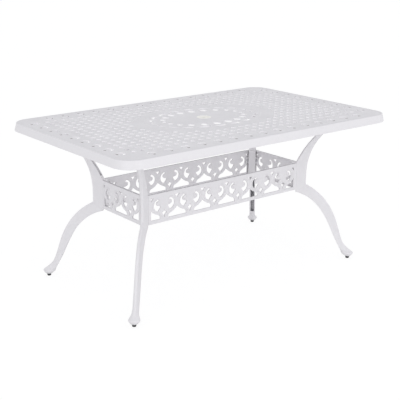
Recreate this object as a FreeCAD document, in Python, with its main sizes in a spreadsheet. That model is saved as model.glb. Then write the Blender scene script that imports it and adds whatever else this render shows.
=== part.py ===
import FreeCAD, Part
import math
import os
import Sketcher

# Cast aluminium garden table with a parasol hole.
# Millimetres, X along the length, Y across, Z up, origin on the floor under the middle of the top.

# Every driving size of the table, by piece
SIZES = {
    # overall
    "table_height": 725.0,
    "top_length": 1500.0,
    "top_width": 920.0,
    # table top casting and the skirt round it
    "corner_radius": 88.0,
    "rim_height": 36.0,
    "rim_flare": 8.0,
    "rim_wall": 5.0,
    "plate_thickness": 5.0,
    "plain_border": 120.0,
    "lattice_pitch": 41.3,
    "lattice_hole": 26.0,
    "oval_length": 734.0,
    "oval_width": 468.0,
    "oval_clearance": 9.0,
    "oval_rib_share": 0.9,
    "scroll_outer_share": 0.72,
    "scroll_inner_share": 0.57,
    "scroll_count": 20,
    "scroll_fill": 0.72,
    "rib_width": 5.0,
    "rib_depth": 8.0,
    "border_rib_inset": 106.0,
    "border_rib_radius": 12.0,
    "chevron_inset": 62.0,
    "chevron_span": 40.0,
    "chevron_rise": 27.0,
    "chevron_width": 12.0,
    "hub_diameter": 92.0,
    "hub_depth": 12.0,
    # parasol liner
    "parasol_bore": 48.0,
    "liner_wall": 2.5,
    "liner_flange": 66.0,
    "liner_flange_thickness": 2.0,
    "liner_length": 24.0,
    "liner_clearance": 0.1,
    # where the legs stand, measured in from the sides of the top
    "leg_inset_x": 301.1,
    "leg_inset_y": 304.8,
    "foot_reach": 266.0,
    "arm_reach": 204.0,
    # leg casting
    "post_depth": 48.3,
    "post_back_width": 36.0,
    "post_box_depth": 22.0,
    "leg_back_width": 30.0,
    "leg_nose_width": 9.5,
    "leg_wall": 4.0,
    "leg_nose_wall": 12.0,
    "arm_top_depth": 25.0,
    "arm_top_drop": 31.0,
    "ankle_depth": 32.0,
    "ankle_low": 19.0,
    "ankle_high": 33.0,
    "knee_rise": 25.3,
    "shin_drop": 10.9,
    "elbow_drop": 40.5,
    "ledge_rise": 3.8,
    "channel_ease": 2.0,
    "hoof_bottom": 11.0,
    "hoof_height": 50.0,
    # lug that carries the top, and the pad under the plate that it is bolted to
    "lug_thickness": 6.0,
    "lug_length": 44.0,
    "lug_width": 76.0,
    "lug_bolt_spacing": 50.0,
    "fixing_pad": 5.0,
    # apron panels
    "panel_bottom": 342.0,
    "panel_height": 131.5,
    "panel_thickness": 6.0,
    "panel_flange_depth": 12.0,
    "panel_flange_thickness": 4.0,
    "long_end_margin": 15.0,
    "short_end_margin": 9.0,
    "long_units": 6,
    "short_units": 2,
    "ear_thickness": 4.0,
    "ear_bottom": 64.0,
    "ear_height": 34.0,
    "ear_length": 27.0,
    "ear_root": 1.5,
    "panel_bolt_inset": 19.0,
    "panel_bolt_level": 81.0,
    # fasteners
    "bolt_clearance": 0.3,
    "tapped_clearance": 0.05,
    "thread_run_out": 0.4,
    "panel_bolt_diameter": 6.0,
    "panel_bolt_flats": 10.0,
    "panel_bolt_head": 4.0,
    "panel_bolt_length": 8.0,
    "top_bolt_diameter": 6.0,
    "top_bolt_flats": 10.0,
    "top_bolt_head": 4.0,
    "top_bolt_length": 14.0,
    # levelling glides
    "glide_radius": 9.0,
    "glide_gap": 0.3,
    "glide_floor": 2.5,
    "glide_clearance": 0.05,
    "stud_diameter": 8.0,
    "stud_length": 28.0,
    "stud_head_radius": 5.5,
    "stud_head_height": 4.0,
    "stud_hole_depth": 22.0,
}

# Signs that put a part in each quarter of the table, and the way its leg points
CORNERS = {
    "front_left": (-1, -1, 225.0),
    "front_right": (1, -1, 315.0),
    "back_left": (-1, 1, 135.0),
    "back_right": (1, 1, 45.0),
}

# The bell of the toe from its sole up, as radius and height above the floor
HOOF_BELL = ((21.0, 13.5), (24.0, 19.0), (23.0, 24.0), (16.0, 33.0))
HOOF_SOLE, HOOF_NECK = 14.0, 11.0

# Shares of the run and of the height at which the handles of each leg curve lie
ARM_INNER = ((0.21, 0.40), (0.50, 0.733))
ARM_OUTER = ((0.021, 0.208), (0.067, 0.646))
SHIN_INNER = ((0.666, 0.147), (0.644, 0.660))
SHIN_OUTER = ((0.867, 0.338), (0.578, 0.807))

# How far the crown and the inner edge of a scroll opening lie out from its ring, how far its ends
# lie in from it, and how long and wide the small opening inside it is, as shares of its half length
SCROLL_CROWN, SCROLL_UNDER, SCROLL_ENDS = 0.62, 0.05, 0.2
SEED_LENGTH, SEED_WIDTH = 0.66, 0.46

Vector = FreeCAD.Vector
Rotation = FreeCAD.Rotation
Placement = FreeCAD.Placement
UP = Vector(0, 0, 1)

doc = FreeCAD.newDocument("garden_table")
sheet = doc.addObject("Spreadsheet::Sheet", "sizes")
for row, (alias, number) in enumerate(SIZES.items(), start=1):
    sheet.set(f"A{row}", alias)
    sheet.set(f"B{row}", str(number))
    sheet.setAlias(f"B{row}", alias)
doc.recompute()


def size(alias):
    return float(sheet.get(alias))


def tie(thing, **formulas):
    for name, formula in formulas.items():
        thing.setExpression(name, formula)


def origin_plane(body, role):
    return next(f for f in body.Origin.OriginFeatures if f.Role == role)


def new_body(name, place=None):
    body = doc.addObject("PartDesign::Body", name)
    body.Label = name
    if place is not None:
        body.Placement = place
    return body


def new_sketch(body, name, role="XY_Plane", offset=None):
    sketch = body.newObject("Sketcher::SketchObject", name)
    sketch.AttachmentSupport = [(origin_plane(body, role), "")]
    sketch.MapMode = "FlatFace"
    if offset is not None:
        sketch.AttachmentOffset = offset
    return sketch


def pin(sketch, kind, *where, formula):
    # a dimension of the sketch that reads the sheet
    start = 1.0
    index = sketch.addConstraint(Sketcher.Constraint(kind, *where, start))
    sketch.setExpression(f"Constraints[{index}]", formula)


def join_ends(sketch, first, count):
    # ties the touching ends of a closed chain of edges
    for step in range(count):
        this, following = first + step, first + (step + 1) % count
        for here in (1, 2):
            for there in (1, 2):
                gap = sketch.getPoint(this, here) - sketch.getPoint(following, there)
                if gap.Length < 1e-6:
                    sketch.addConstraint(Sketcher.Constraint("Coincident", this, here, following, there))
                    break
            else:
                continue
            break


def draw_loop(sketch, corners):
    # a closed outline; a corner with four numbers starts an arc through the second pair
    first = sketch.GeometryCount
    for here, following in zip(corners, corners[1:] + corners[:1]):
        start, end = Vector(here[0], here[1], 0), Vector(following[0], following[1], 0)
        if len(here) == 4:
            sketch.addGeometry(Part.Arc(start, Vector(here[2], here[3], 0), end), False)
        else:
            sketch.addGeometry(Part.LineSegment(start, end), False)
    join_ends(sketch, first, len(corners))


def draw_rounded_rectangle(sketch, length, width, radius):
    # centred on the origin, each size a formula on the sheet
    first = sketch.GeometryCount
    half_x, half_y, round_off = 300.0, 200.0, 50.0
    quarter = math.pi / 2
    turns = ((1, -1, 3), (1, 1, 0), (-1, 1, 1), (-1, -1, 2))
    for index, (side_x, side_y, start) in enumerate(turns):
        centre = Vector(side_x * (half_x - round_off), side_y * (half_y - round_off), 0)
        ways = (Vector(0, -1, 0), Vector(1, 0, 0), Vector(0, 1, 0), Vector(-1, 0, 0))
        last_x, last_y, _ = turns[index - 1]
        last_centre = Vector(last_x * (half_x - round_off), last_y * (half_y - round_off), 0)
        out = ways[index] * round_off
        sketch.addGeometry(Part.LineSegment(last_centre + out, centre + out), False)
        circle = Part.Circle(centre, UP, round_off)
        sketch.addGeometry(Part.ArcOfCircle(circle, start * quarter, (start + 1) * quarter), False)
    for index in range(4):
        line, arc = first + 2 * index, first + 2 * index + 1
        next_line = first + (2 * index + 2) % 8
        sketch.addConstraint(Sketcher.Constraint("Tangent", line, 2, arc, 1))
        sketch.addConstraint(Sketcher.Constraint("Tangent", arc, 2, next_line, 1))
        if index:
            sketch.addConstraint(Sketcher.Constraint("Equal", first + 1, arc))
    for index, way in enumerate(("Horizontal", "Vertical", "Horizontal", "Vertical")):
        sketch.addConstraint(Sketcher.Constraint(way, first + 2 * index))
    sketch.addConstraint(Sketcher.Constraint("Symmetric", first, 1, first + 4, 1, -1, 1))
    pin(sketch, "DistanceX", first + 6, 1, first + 2, 1, formula=length)
    pin(sketch, "DistanceY", first, 1, first + 4, 1, formula=width)
    pin(sketch, "Radius", first + 1, formula=radius)


def add_pad(body, sketch, length, reverse=False, name="pad"):
    pad = body.newObject("PartDesign::Pad", name)
    pad.Profile = sketch
    pad.Reversed = reverse
    tie(pad, Length=length)
    return pad


def add_pocket(body, sketch, length, reverse=False, name="pocket"):
    pocket = body.newObject("PartDesign::Pocket", name)
    pocket.Profile = sketch
    pocket.Reversed = reverse
    tie(pocket, Length=length)
    return pocket


def at_height(formula_value):
    return Placement(Vector(0, 0, formula_value), Rotation())


def plate_underside():
    return size("table_height") - size("plate_thickness")


def oval_point(share, angle):
    # a point on the medallion's oval, the way out from it and the way along it
    half_x, half_y = share * size("oval_length") / 2, share * size("oval_width") / 2
    point = Vector(half_x * math.cos(angle), half_y * math.sin(angle), 0)
    outward = Vector(half_y * math.cos(angle), half_x * math.sin(angle), 0).normalize()
    return point, outward, UP.cross(outward)


def loop_wire(corners):
    return Part.makePolygon(corners + corners[:1])


def lattice_sites():
    # square grid of holes inside the plain border and outside the oval
    pitch, clear = size("lattice_pitch"), size("oval_clearance")
    reach_x = size("top_length") / 2 - size("plain_border")
    reach_y = size("top_width") / 2 - size("plain_border")
    columns, rows = int(reach_x / pitch), int(reach_y / pitch)
    oval_x, oval_y = size("oval_length") / 2 + clear, size("oval_width") / 2 + clear
    for column in range(-columns, columns + 1):
        for line in range(-rows, rows + 1):
            x, y = column * pitch, line * pitch
            if (x / oval_x) ** 2 + (y / oval_y) ** 2 > 1:
                yield Vector(x, y, 0)


def lattice_wires():
    half = size("lattice_hole") / 2
    ways = (Vector(half, 0, 0), Vector(0, half, 0), Vector(-half, 0, 0), Vector(0, -half, 0))
    return [loop_wire([site + way for way in ways]) for site in lattice_sites()]


def border_sites(inset):
    # evenly spaced points round the border with the way in and the way along, two lattice steps apart
    spacing = 2 * size("lattice_pitch")
    half_x, half_y = size("top_length") / 2, size("top_width") / 2
    corner = size("corner_radius")
    for half_run, half_across, turn in ((half_x, half_y, 0), (half_y, half_x, 90)):
        count = int((half_run - corner - spacing / 2) / spacing)
        for side in (0, 180):
            spin = Rotation(UP, turn + side)
            for index in range(-count, count + 1):
                point = Vector(index * spacing, -half_across + inset, 0)
                yield spin.multVec(point), spin.multVec(Vector(0, 1, 0)), spin.multVec(Vector(1, 0, 0))


def chevron_wires():
    # the row of openings along the border, each a pair of blades that meet on its inner side
    wires = []
    half, rise, width = size("chevron_span") / 2, size("chevron_rise"), size("chevron_width")
    for point, inward, along in border_sites(size("chevron_inset")):
        wires.append(loop_wire([point - along * half, point + inward * (rise - width),
                                point + along * half, point + inward * rise]))
    return wires


def medallion_wires():
    # a ring of scroll openings round the oval with a small seed opening inside each
    wires = []
    count = int(size("scroll_count"))
    outer, inner = size("scroll_outer_share"), size("scroll_inner_share")
    turn = 2 * math.pi / count
    for index in range(count):
        angle = turn * (index + 0.5)
        ends = [oval_point(outer, angle + side * turn / 2)[0] for side in (-1, 1)]
        half = size("scroll_fill") * (ends[1] - ends[0]).Length / 2
        point, outward, along = oval_point(outer, angle)
        low = point - outward * half * SCROLL_ENDS
        wires.append(loop_wire([low + along * half, point + outward * half * SCROLL_CROWN,
                                low - along * half, point + outward * half * SCROLL_UNDER]))
        point, outward, along = oval_point(inner, angle)
        long_way, short_way = outward * half * SEED_LENGTH, along * half * SEED_WIDTH
        wires.append(loop_wire([point + long_way, point - short_way, point - long_way,
                                point + short_way]))
    return wires


# The skirt's side leans by this, so the outline loses this much at each side by the plate's underside
RIM_SLOPE = "atan(sizes.rim_flare / sizes.rim_height)"
SKIRT_HEIGHT = "(sizes.rim_height - sizes.plate_thickness)"
SKIRT_LEAN = f"(sizes.rim_flare * {SKIRT_HEIGHT} / sizes.rim_height)"


def top_plate():
    # the flat plate, its edge in line with the skirt under it
    body = new_body("top_plate")
    outline = new_sketch(body, "plate_outline", offset=at_height(plate_underside()))
    draw_rounded_rectangle(outline, f"sizes.top_length - 2 * {SKIRT_LEAN}",
                           f"sizes.top_width - 2 * {SKIRT_LEAN}", f"sizes.corner_radius - {SKIRT_LEAN}")
    plate = add_pad(body, outline, "sizes.plate_thickness", name="plate")
    tie(plate, TaperAngle=f"-{RIM_SLOPE}")
    return body


def top_rim():
    # the skirt: a band that flares outwards going down, welded under the edge of the plate
    body = new_body("top_rim")
    foot = at_height(size("table_height") - size("rim_height"))
    outline = new_sketch(body, "rim_outline", offset=foot)
    draw_rounded_rectangle(outline, "sizes.top_length", "sizes.top_width", "sizes.corner_radius")
    block = add_pad(body, outline, SKIRT_HEIGHT, name="rim_block")
    tie(block, TaperAngle=f"-{RIM_SLOPE}")
    inside = new_sketch(body, "rim_inside", offset=foot)
    draw_rounded_rectangle(inside, "sizes.top_length - 2 * sizes.rim_wall",
                           "sizes.top_width - 2 * sizes.rim_wall",
                           "sizes.corner_radius - sizes.rim_wall")
    hollow = add_pocket(body, inside, SKIRT_HEIGHT, reverse=True, name="rim_hollow")
    tie(hollow, TaperAngle=f"-{RIM_SLOPE}")
    return body


def border_rib():
    # a rib under the plain strip between the border row and the lattice
    body = new_body("border_rib")
    under = at_height(plate_underside())
    border = new_sketch(body, "border_rib_plan", offset=under)
    for inner in ("0", "sizes.rib_width"):
        inset = f"(sizes.border_rib_inset + {inner})"
        draw_rounded_rectangle(border, f"sizes.top_length - 2 * {inset}", f"sizes.top_width - 2 * {inset}",
                               f"sizes.border_rib_radius - {inner}")
    add_pad(body, border, "sizes.rib_depth", reverse=True, name="border_rib_pad")
    return body


def oval_rib():
    # an oval rib under the smooth band, cut from two elliptic prisms
    share, width, depth = size("oval_rib_share"), size("rib_width"), size("rib_depth")
    prisms = []
    for more in (width / 2, -width / 2):
        half_x = share * size("oval_length") / 2 + more
        half_y = share * size("oval_width") / 2 + more
        ring = Part.Wire(Part.Ellipse(Vector(0, 0, plate_underside() - depth), half_x, half_y).toShape())
        prisms.append(Part.Face(ring).extrude(UP * depth))
    rib = doc.addObject("Part::Feature", "oval_rib")
    rib.Shape = prisms[0].cut(prisms[1])
    return rib


def top_openings():
    # the lattice, the border row and the medallion's openings as one set of prisms through the plate
    overshoot = 1.0
    depth = size("plate_thickness") + overshoot
    floor = Vector(0, 0, plate_underside())
    prisms = []
    for wire in lattice_wires() + chevron_wires() + medallion_wires():
        wire.translate(floor)
        prisms.append(Part.Face(wire).extrude(UP * depth))
    holes = doc.addObject("Part::Feature", "top_openings")
    holes.Shape = Part.makeCompound(prisms)
    return holes


def leg_corner(sign_x, sign_y):
    # the corner where the outer faces of two panels would meet
    return Vector(sign_x * (size("top_length") / 2 - size("leg_inset_x")),
                  sign_y * (size("top_width") / 2 - size("leg_inset_y")), 0)


def leg_place(corner, along=0.0, across=0.0, height=0.0):
    # a point given in the frame of one leg, whose X points out along the leg
    sign_x, sign_y, turn = CORNERS[corner]
    spin = Rotation(UP, turn)
    return Placement(leg_corner(sign_x, sign_y) + spin.multVec(Vector(along, across, height)), spin)


def lug_face():
    # height of the lug's upper face, which bears on the pad
    return plate_underside() - size("fixing_pad")


def lug_underside():
    return lug_face() - size("lug_thickness")


def fixing_pads():
    # under each quarter of the plate a pad that the leg's lug is bolted to
    pads = []
    for corner in CORNERS:
        pad = doc.addObject("Part::Box", f"pad_{corner}")
        tie(pad, Length="sizes.lug_length", Width="sizes.lug_width", Height="sizes.fixing_pad")
        pad.Placement = leg_place(corner, size("arm_reach") - size("lug_length") / 2,
                                  -size("lug_width") / 2, lug_face())
        pads.append(pad)
    return pads


def tapped_holes():
    holes = []
    for corner in CORNERS:
        for side in (-1, 1):
            hole = doc.addObject("Part::Cylinder", f"tapped_{corner}")
            tie(hole, Radius="sizes.top_bolt_diameter / 2 + sizes.tapped_clearance",
                Height="sizes.top_bolt_length - sizes.lug_thickness + sizes.thread_run_out")
            hole.Placement = leg_place(corner, size("arm_reach"), side * size("lug_bolt_spacing") / 2,
                                       lug_face())
            holes.append(hole)
    return holes


def fuse(name, shapes):
    joined = doc.addObject("Part::MultiFuse", name)
    joined.Shapes = shapes
    joined.Refine = True
    return joined


def cut(name, base, tool):
    result = doc.addObject("Part::Cut", name)
    result.Base = base
    result.Tool = tool
    result.Label = name
    return result


def cylinder(name, radius, height, base):
    # an upright cylinder on the table's axis
    rod = doc.addObject("Part::Cylinder", name)
    tie(rod, Radius=radius, Height=height)
    rod.Placement = at_height(base)
    return rod


def table_top():
    hub = cylinder("hub", "sizes.hub_diameter / 2", "sizes.hub_depth",
                   plate_underside() - size("hub_depth"))
    solid = fuse("top_with_ribs", [top_plate(), border_rib(), oval_rib(), hub] + fixing_pads())
    seat_depth = "sizes.liner_flange_thickness"
    seat = cylinder("liner_seat", "sizes.liner_flange / 2 + sizes.liner_clearance", seat_depth,
                    size("table_height") - size("liner_flange_thickness"))
    bore = cylinder("liner_bore", "sizes.parasol_bore / 2 + sizes.liner_wall + sizes.liner_clearance",
                    "sizes.hub_depth + sizes.plate_thickness", plate_underside() - size("hub_depth"))
    bored = cut("bored_top", solid, fuse("top_holes", [seat, bore] + tapped_holes()))
    return cut("table_top", bored, top_openings())


def parasol_liner():
    # a flanged nylon sleeve, its flange sunk level with the top
    body = new_body("parasol_liner")
    top, inside, rim = size("table_height"), size("parasol_bore") / 2, size("liner_flange") / 2
    outside = inside + size("liner_wall")
    step, foot = top - size("liner_flange_thickness"), top - size("liner_length")
    turned(body, "liner_profile", [(inside, foot), (outside, foot), (outside, step), (rim, step), (rim, top),
                                   (inside, top)])
    return body


def rail_point(start, end, handles, share):
    # cubic curve from start to end with its handles given as shares of the run and of the height
    run, rise = end[0] - start[0], end[1] - start[1]
    points = [start] + [(start[0] + run * a, start[1] + rise * b) for a, b in handles] + [end]
    weights = ((1 - share) ** 3, 3 * share * (1 - share) ** 2, 3 * share ** 2 * (1 - share), share ** 3)
    return tuple(sum(w * p[axis] for w, p in zip(weights, points)) for axis in (0, 1))


def section(body, name, inner, outer, back, nose, trim=0.0):
    # a trapezium across the leg: wide edge at the inner point, narrow edge at the outer one
    run, rise = outer[0] - inner[0], outer[1] - inner[1]
    depth = math.hypot(run, rise)
    tilt = math.degrees(math.atan2(rise, run))
    place = Placement(Vector(inner[0], 0, inner[1]), Rotation(Vector(0, 1, 0), -tilt))
    sketch = new_sketch(body, name, offset=place)
    half_back, half_nose = back / 2, nose / 2
    draw_loop(sketch, [(-trim, -half_back), (depth, -half_nose), (depth, half_nose), (-trim, half_back)])
    return sketch


def loft(body, kind, name, sections, ruled=False):
    skin = body.newObject(f"PartDesign::{kind}", name)
    skin.Profile = sections[0]
    skin.Sections = sections[1:]
    skin.Ruled = ruled
    return skin


def leg_points():
    # the named corners of the leg seen from its side: distance out from the panel corner, and height
    panel_low = size("panel_bottom")
    panel_high = panel_low + size("panel_height")
    deep = size("post_depth")
    arm_top = size("table_height") - size("arm_top_drop")
    reach, half_top = size("arm_reach"), size("arm_top_depth") / 2
    foot, half_ankle = size("foot_reach"), size("ankle_depth") / 2
    ankle_low, ankle_high = size("ankle_low"), size("ankle_high")
    return {
        "ledge": (0.0, panel_high + size("ledge_rise")),
        "elbow": (deep, panel_high - size("elbow_drop")),
        "knee": (deep, panel_low + size("knee_rise")),
        "heel": (0.0, panel_low - size("shin_drop")),
        "arm_top_inner": (reach - half_top, arm_top),
        "arm_top_outer": (reach + half_top, arm_top),
        "ankle_inner": (foot - half_ankle, ankle_low),
        "ankle_outer": (foot + half_ankle, ankle_high),
    }


def limb_sections(body, name, inner, outer, shares, channel):
    # cross sections of an arm or a shin; the channel's are narrower and stop short of the nose
    back, post_back, nose = size("leg_back_width"), size("post_back_width"), size("leg_nose_width")
    wall, nose_wall = size("leg_wall"), size("leg_nose_wall")
    made = []
    for index, share in enumerate(shares):
        near, far = rail_point(*inner, share), rail_point(*outer, share)
        wide = back + (post_back - back) * (1 - share) ** 4
        if not channel:
            made.append(section(body, f"{name}_{index}", near, far, wide, nose))
            continue
        depth = math.hypot(far[0] - near[0], far[1] - near[1])
        part = 1 - nose_wall / depth
        floor = tuple(a + (b - a) * part for a, b in zip(near, far))
        narrow = max(wide + (nose - wide) * part - 2 * wall, wall / 2)
        made.append(section(body, f"{name}_{index}", near, floor, wide - 2 * wall, narrow,
                            trim=size("channel_ease")))
    return made


def leg_castings(body):
    at = leg_points()
    back, nose = size("post_back_width"), size("leg_nose_width")
    arm = ((at["ledge"], at["arm_top_inner"], ARM_INNER), (at["elbow"], at["arm_top_outer"], ARM_OUTER))
    shin = ((at["heel"], at["ankle_inner"], SHIN_INNER), (at["knee"], at["ankle_outer"], SHIN_OUTER))
    full = [0.0, 0.25, 0.5, 0.75, 1.0]
    loft(body, "AdditiveLoft", "post", [section(body, "post_low", at["heel"], at["knee"], back, nose),
                                        section(body, "post_high", at["ledge"], at["elbow"], back, nose)],
         ruled=True)
    loft(body, "AdditiveLoft", "arm", limb_sections(body, "arm_section", *arm, full, False))
    loft(body, "AdditiveLoft", "shin", limb_sections(body, "shin_section", *shin, full, False))
    open_arm = [0.06, 0.3, 0.55, 0.8, 0.96]
    open_shin = [0.06, 0.27, 0.5, 0.7, 0.86]
    loft(body, "SubtractiveLoft", "arm_channel",
         limb_sections(body, "arm_hollow", *arm, open_arm, True))
    loft(body, "SubtractiveLoft", "shin_channel",
         limb_sections(body, "shin_hollow", *shin, open_shin, True))


def arm_neck(body):
    # the solid end of the arm inside the skirt, from the end of its curve up to the lug
    low = size("table_height") - size("arm_top_drop")
    inner = size("arm_reach") - size("arm_top_depth") / 2
    outer = size("arm_reach") + size("arm_top_depth") / 2
    half_back, half_nose = size("leg_back_width") / 2, size("leg_nose_width") / 2
    sketch = new_sketch(body, "neck_plan", offset=at_height(low))
    draw_loop(sketch, [(inner, -half_back), (outer, -half_nose), (outer, half_nose), (inner, half_back)])
    rise = "sizes.arm_top_drop - sizes.plate_thickness - sizes.fixing_pad - sizes.lug_thickness"
    add_pad(body, sketch, rise, name="neck")


def leg_box(body):
    # the closed box behind the post, between the ends of two panels
    sketch = new_sketch(body, "box_plan", offset=at_height(size("panel_bottom")))
    half, deep = size("post_back_width") / 2, size("post_box_depth")
    draw_loop(sketch, [(-deep, -half), (0, -half), (0, half), (-deep, half)])
    add_pad(body, sketch, "sizes.panel_height", name="box")


def panel_to_leg(along, inward, side):
    # plan point of a panel, measured from the corner it meets and in from its outer face, in the leg's frame
    half = size("post_back_width") / 2
    s = (-along - inward) / math.sqrt(2)
    t = side * (half + (along - inward) / math.sqrt(2))
    return s, t


def leg_ears(body):
    # two ears, each lying behind the end of a panel
    low = at_height(size("panel_bottom") + size("ear_bottom"))
    front, back = size("panel_thickness"), size("panel_thickness") + size("ear_thickness")
    root, tip = size("ear_root"), size("ear_length")
    plan = [(front - root, front), (tip, front), (tip, back), (back - root, back)]
    for side, name in ((1, "left_ear"), (-1, "right_ear")):
        sketch = new_sketch(body, f"{name}_plan", offset=low)
        draw_loop(sketch, [panel_to_leg(along, inward, side) for along, inward in plan])
        add_pad(body, sketch, "sizes.ear_height", name=name)
    for side in (1, -1):
        hole = new_sketch(body, "ear_bolt", offset=ear_face(side))
        add_circle(hole, 0, size("panel_bottom") + size("panel_bolt_level"),
                   "sizes.panel_bolt_diameter / 2 + sizes.bolt_clearance")
        add_pocket(body, hole, "sizes.ear_thickness", reverse=True, name="ear_hole")


def ear_face(side):
    # plane on the inner face of an ear, facing the panel, its X along the ear and its Y up
    inward = size("panel_thickness") + size("ear_thickness")
    s, t = panel_to_leg(size("panel_bolt_inset"), inward, side)
    upright = Rotation(Vector(1, 0, 0), 90)
    return Placement(Vector(s, t, 0), Rotation(UP, 90 + 45 * side).multiply(upright))


def add_circle(sketch, x, y, radius):
    ring = sketch.addGeometry(Part.Circle(Vector(x, y, 0), UP, 5.0), False)
    pin(sketch, "Radius", ring, formula=radius)


def leg_hoof(body):
    # the round toe, turned about the glide's axis
    sketch = new_sketch(body, "hoof_profile", role="XZ_Plane")
    centre = size("foot_reach")
    low, high = size("hoof_bottom"), size("hoof_height")
    bell = [(centre + radius, height) for radius, height in HOOF_BELL]
    draw_loop(sketch, [(centre, low), (centre + HOOF_SOLE, low)] + bell
              + [(centre + HOOF_NECK, high), (centre, high)])
    turn = body.newObject("PartDesign::Revolution", "hoof")
    turn.Profile = sketch
    axis = sketch.addGeometry(Part.LineSegment(Vector(centre, low, 0), Vector(centre, high, 0)), True)
    turn.ReferenceAxis = (sketch, ["Axis0"])
    turn.Angle = 360.0
    stud_hole = new_sketch(body, "glide_hole", offset=at_height(low))
    add_circle(stud_hole, centre, 0, "sizes.stud_diameter / 2 + sizes.tapped_clearance")
    add_pocket(body, stud_hole, "sizes.stud_hole_depth", reverse=True, name="glide_thread")


def leg_lug(body):
    # the flat lug at the head of the arm, with two bolt holes
    low = lug_underside()
    reach = size("arm_reach")
    half_x, half_y = size("lug_length") / 2, size("lug_width") / 2
    sketch = new_sketch(body, "lug_plan", offset=at_height(low))
    draw_loop(sketch, [(reach - half_x, -half_y), (reach + half_x, -half_y), (reach + half_x, half_y),
                       (reach - half_x, half_y)])
    add_pad(body, sketch, "sizes.lug_thickness", name="lug")
    holes = new_sketch(body, "lug_bolts", offset=at_height(low))
    for side in (-1, 1):
        add_circle(holes, reach, side * size("lug_bolt_spacing") / 2,
                   "sizes.top_bolt_diameter / 2 + sizes.bolt_clearance")
    add_pocket(body, holes, "sizes.lug_thickness", reverse=True, name="lug_holes")


def leg(corner):
    body = new_body(f"leg_{corner}", leg_place(corner))
    leg_castings(body)
    arm_neck(body)
    leg_box(body)
    leg_ears(body)
    leg_hoof(body)
    leg_lug(body)
    return body


def panel_plan(body, name, half_length, depth, height):
    # the plan of a strip whose ends lie along the sides of two leg boxes
    sketch = new_sketch(body, name, offset=at_height(height))
    draw_loop(sketch, [(-half_length, 0), (half_length, 0), (half_length - depth, depth),
                       (-half_length + depth, depth)])
    return sketch


def scaled(outline, middle, along, up):
    # an outline of the motif stretched to a panel's own unit and height
    made = []
    for corner in outline:
        pairs = zip(corner[::2], corner[1::2])
        made.append(tuple(number for u, v in pairs for number in (middle + u * along, v * up)))
    return made


def mirrored(outline):
    # the same outline on the other side of the unit's middle line, run the other way round
    flipped = [tuple(-n if i % 2 == 0 else n for i, n in enumerate(corner)) for corner in outline]
    ends = [corner[:2] for corner in flipped]
    arcs = [corner[2:] for corner in flipped]
    return [ends[-index] + arcs[-index - 1] for index in range(len(outline))]


# The fretwork drawn once, in millimetres on a unit this wide and high, from its middle line and foot
UNIT_WIDTH, UNIT_HEIGHT = 139.8, 131.5
STAR = [(0, 22), (4, 33), (13, 42), (4, 47), (0, 57), (-4, 47), (-13, 42), (-4, 33)]
CRESCENT = [(15, 77), (32, 52.5, 56.5, 77), (41, 99, 47.5, 83), (38, 70.5, 27, 70)]
ARCH = [(-49.5, 16), (49.5, 16), (48, 27), (40, 34.5, 19, 43.5), (0, 61, -19, 43.5), (-40, 34.5), (-48, 27)]
HALF_ARCH = [(0, 16), (0, 61, -19, 43.5), (-40, 34.5), (-48, 27), (-49.5, 16)]
DROP = [(0, 98), (12.5, 113), (-12.5, 113)]
HALF_DROP = [(0, 98), (0, 113), (-12.5, 113)]


def repeat(body, pocket, sketch, spacing, count):
    pattern = body.newObject("PartDesign::LinearPattern", f"{pocket.Name}_row")
    pattern.Originals = [pocket]
    pattern.Direction = (sketch, ["H_Axis"])
    pattern.Length = spacing * (count - 1)
    pattern.Occurrences = count
    body.Tip = pattern


def fretwork(body, half_length, margin, units):
    # stars and crescents in every unit, arches and drops where two units meet, halves at the ends
    field = half_length - margin
    pitch = 2 * field / units
    along, up = pitch / UNIT_WIDTH, size("panel_height") / UNIT_HEIGHT
    first = -field + pitch / 2
    units_sketch = new_sketch(body, "unit_openings", role="XZ_Plane")
    for outline in (STAR, CRESCENT, mirrored(CRESCENT)):
        draw_loop(units_sketch, scaled(outline, first, along, up))
    cut_units = add_pocket(body, units_sketch, "sizes.panel_thickness", name="unit_cut")
    repeat(body, cut_units, units_sketch, pitch, units)
    joints_sketch = new_sketch(body, "joint_openings", role="XZ_Plane")
    for outline in (ARCH, DROP):
        draw_loop(joints_sketch, scaled(outline, -field + pitch, along, up))
    cut_joints = add_pocket(body, joints_sketch, "sizes.panel_thickness", name="joint_cut")
    if units > 2:
        repeat(body, cut_joints, joints_sketch, pitch, units - 1)
    ends_sketch = new_sketch(body, "end_openings", role="XZ_Plane")
    for outline in (HALF_ARCH, HALF_DROP):
        draw_loop(ends_sketch, scaled(outline, field, along, up))
        draw_loop(ends_sketch, scaled(mirrored(outline), -field, along, up))
    add_pocket(body, ends_sketch, "sizes.panel_thickness", name="end_cut")


def panel(name, half_length, offset, turn, margin, units):
    spin = Rotation(UP, turn)
    outer_face = spin.multVec(Vector(0, -offset, size("panel_bottom")))
    body = new_body(name, Placement(outer_face, spin))
    plate = panel_plan(body, "plate_plan", half_length, size("panel_thickness"), 0)
    add_pad(body, plate, "sizes.panel_height", name="plate")
    high = size("panel_height") - size("panel_flange_thickness")
    for level, flange in ((0, "foot_flange"), (high, "head_flange")):
        plan = panel_plan(body, f"{flange}_plan", half_length, size("panel_flange_depth"), level)
        add_pad(body, plan, "sizes.panel_flange_thickness", name=flange)
    fretwork(body, half_length, margin, units)
    depth = size("panel_bolt_length") - size("ear_thickness") + size("thread_run_out")
    back = Placement(Vector(0, size("panel_thickness"), 0), Rotation(Vector(1, 0, 0), 90))
    holes = new_sketch(body, "tapped_holes", offset=back)
    for side in (-1, 1):
        add_circle(holes, side * (half_length - size("panel_bolt_inset")), size("panel_bolt_level"),
                   "sizes.panel_bolt_diameter / 2 + sizes.tapped_clearance")
    add_pocket(body, holes, str(depth), reverse=True, name="threads")
    return body


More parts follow.
